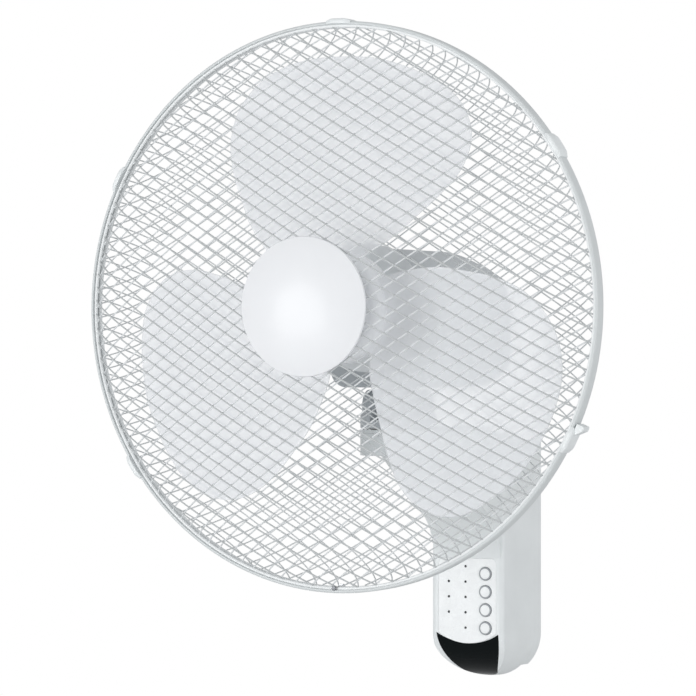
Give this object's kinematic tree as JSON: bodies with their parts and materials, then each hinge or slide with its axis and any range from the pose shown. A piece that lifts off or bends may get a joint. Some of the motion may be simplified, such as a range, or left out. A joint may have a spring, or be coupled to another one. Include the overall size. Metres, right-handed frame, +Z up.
{
  "type": "wall mounted fan",
  "caption": "Wall mounted fan with a wire mesh cage in a ring, a translucent bladed impeller, a tilting and swinging motor head and a control body on a hook bracket.",
  "frame": {"origin": "middle of the two screw holes of the wall bracket, in the plane of the wall", "axes": "+Y points into the wall, along the screws; +Z is up; +X is to the right seen from the front; the fan blows towards -Y"},
  "size_m": [0.4346, 0.359, 0.524],
  "materials": {
    "black_part": "matte",
    "blade_clear": "glossy, translucent",
    "board": "matte",
    "copper": "enamelled",
    "grey_shell": "satin",
    "laminations": "plain",
    "lens": "glossy",
    "nylon": "matte",
    "rubber": "matte",
    "sheet": "galvanised",
    "steel": "zinc plated",
    "white_plastic": "satin",
    "window_dark": "glossy",
    "wire": "powder coated"
  },
  "bodies": {
    "base": {"front_casing": "white_plastic", "arm_lid": "white_plastic", "control_panel": "white_plastic", "receiver_window": "window_dark", "rear_casing": "white_plastic", "wall_bracket": "sheet", "cord_grommet": "rubber", "casing_screws": "steel", "lid_screws": "steel", "lock_screw": "steel", "control_board": "board", "tact_switches": "black_part", "ir_receiver": "black_part", "light_pipes": "lens", "swing_motor": "sheet", "pivot_washer": "nylon"},
    "power_key": {"power_button": "white_plastic"},
    "speed_key": {"speed_button": "white_plastic"},
    "timer_key": {"timer_button": "white_plastic"},
    "swing_key": {"swing_button": "white_plastic"},
    "neck": {"neck_turret": "grey_shell", "pivot_clip": "steel", "tilt_bolt": "steel", "tilt_nut": "steel", "swing_shaft": "steel"},
    "head": {"motor_shell": "grey_shell", "motor_front_cover": "grey_shell", "front_bearing": "laminations", "rear_bearing": "laminations", "motor_end_bell": "sheet", "stator": "laminations", "stator_windings": "copper", "run_capacitor": "black_part", "grille_nut": "white_plastic", "rear_hub_plate": "wire", "front_grille": "wire", "rear_grille": "wire", "front_rim_wire": "wire", "rear_rim_wire": "wire", "grille_ring": "white_plastic", "rim_clips": "white_plastic", "ring_screw": "steel", "ring_nut": "steel", "badge_plate": "sheet", "centre_badge": "white_plastic"},
    "rotor": {"rotor_shaft": "steel", "drive_pin": "steel", "rotor_core": "laminations", "impeller": "blade_clear", "blade_nut": "white_plastic"}
  },
  "joints": [
    {"name": "swing_pan", "type": "hinge", "parent": "base", "child": "neck", "pos_m": [0, -0.1915, 0.09], "axis": [0, 0, 1], "range_deg": [-45, 45]},
    {"name": "tilt", "type": "hinge", "parent": "neck", "child": "head", "pos_m": [0, -0.1915, 0.114], "axis": [1, 0, 0], "range_deg": [-15, 20]},
    {"name": "blade_spin", "type": "hinge", "parent": "head", "child": "rotor", "pos_m": [0, -0.2775, 0.19], "axis": [0, 1, 0], "continuous": true},
    {"name": "power_press", "type": "slide", "parent": "base", "child": "power_key", "axis": [0, 1, 0], "range_m": [0, 0.0008], "stiffness_N_per_m": 1500},
    {"name": "speed_press", "type": "slide", "parent": "base", "child": "speed_key", "axis": [0, 1, 0], "range_m": [0, 0.0008], "stiffness_N_per_m": 1500},
    {"name": "timer_press", "type": "slide", "parent": "base", "child": "timer_key", "axis": [0, 1, 0], "range_m": [0, 0.0008], "stiffness_N_per_m": 1500},
    {"name": "swing_press", "type": "slide", "parent": "base", "child": "swing_key", "axis": [0, 1, 0], "range_m": [0, 0.0008], "stiffness_N_per_m": 1500}
  ]
}
